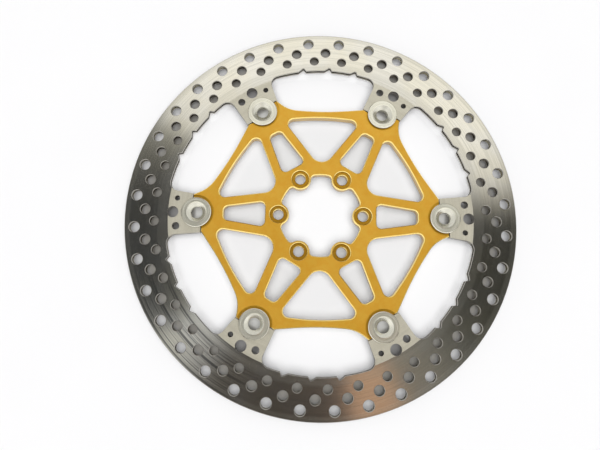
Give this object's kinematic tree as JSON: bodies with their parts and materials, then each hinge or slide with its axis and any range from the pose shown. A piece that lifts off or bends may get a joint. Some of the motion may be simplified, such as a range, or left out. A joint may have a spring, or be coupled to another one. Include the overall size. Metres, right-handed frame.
{
  "type": "brake disc rotor",
  "caption": "Floating ventilated brake disc: a drilled two-plate steel ring held by bobbins on a gold spoked carrier with a round bolt pattern at the hub.",
  "frame": {"origin": "disc axis, at the carrier's rear face that seats on the hub", "axes": "+Z along the disc axis away from the wheel, +X through the first bobbin"},
  "size_m": [0.203, 0.203, 0.0069],
  "materials": {
    "gold_anodising": "satin gold anodised",
    "brake_steel": "pad-polished, fine circular scratches",
    "vane_steel": "satin",
    "bobbin_steel": "fine turned",
    "washer_steel": "satin",
    "spring_steel": "satin"
  },
  "bodies": {
    "carrier": {"carrier": "gold_anodising"},
    "brake_ring": {"front_brake_plate": "brake_steel", "rear_brake_plate": "brake_steel", "cooling_vanes": "vane_steel", "tab_spacers": "vane_steel"},
    "bobbin_1": {"bobbin_1": "bobbin_steel", "rear_washer_1": "washer_steel", "wave_washer_1": "spring_steel"},
    "bobbin_2": {"bobbin_2": "bobbin_steel", "rear_washer_2": "washer_steel", "wave_washer_2": "spring_steel"},
    "bobbin_3": {"bobbin_3": "bobbin_steel", "rear_washer_3": "washer_steel", "wave_washer_3": "spring_steel"},
    "bobbin_4": {"bobbin_4": "bobbin_steel", "rear_washer_4": "washer_steel", "wave_washer_4": "spring_steel"},
    "bobbin_5": {"bobbin_5": "bobbin_steel", "rear_washer_5": "washer_steel", "wave_washer_5": "spring_steel"},
    "bobbin_6": {"bobbin_6": "bobbin_steel", "rear_washer_6": "washer_steel", "wave_washer_6": "spring_steel"}
  },
  "joints": [
    {"name": "ring_float", "type": "slide", "parent": "carrier", "child": "brake_ring", "axis": [0, 0, 1], "range_m": [-0.00014, 0.00014]},
    {"name": "bobbin_1_spin", "type": "hinge", "parent": "carrier", "child": "bobbin_1", "pos_m": [0.0645, 0, 0], "axis": [0, 0, 1], "continuous": true},
    {"name": "bobbin_2_spin", "type": "hinge", "parent": "carrier", "child": "bobbin_2", "pos_m": [0.03225, 0.05586, 0], "axis": [0, 0, 1], "continuous": true},
    {"name": "bobbin_3_spin", "type": "hinge", "parent": "carrier", "child": "bobbin_3", "pos_m": [-0.03225, 0.05586, 0], "axis": [0, 0, 1], "continuous": true},
    {"name": "bobbin_4_spin", "type": "hinge", "parent": "carrier", "child": "bobbin_4", "pos_m": [-0.0645, 0, 0], "axis": [0, 0, 1], "continuous": true},
    {"name": "bobbin_5_spin", "type": "hinge", "parent": "carrier", "child": "bobbin_5", "pos_m": [-0.03225, -0.05586, 0], "axis": [0, 0, 1], "continuous": true},
    {"name": "bobbin_6_spin", "type": "hinge", "parent": "carrier", "child": "bobbin_6", "pos_m": [0.03225, -0.05586, 0], "axis": [0, 0, 1], "continuous": true}
  ]
}
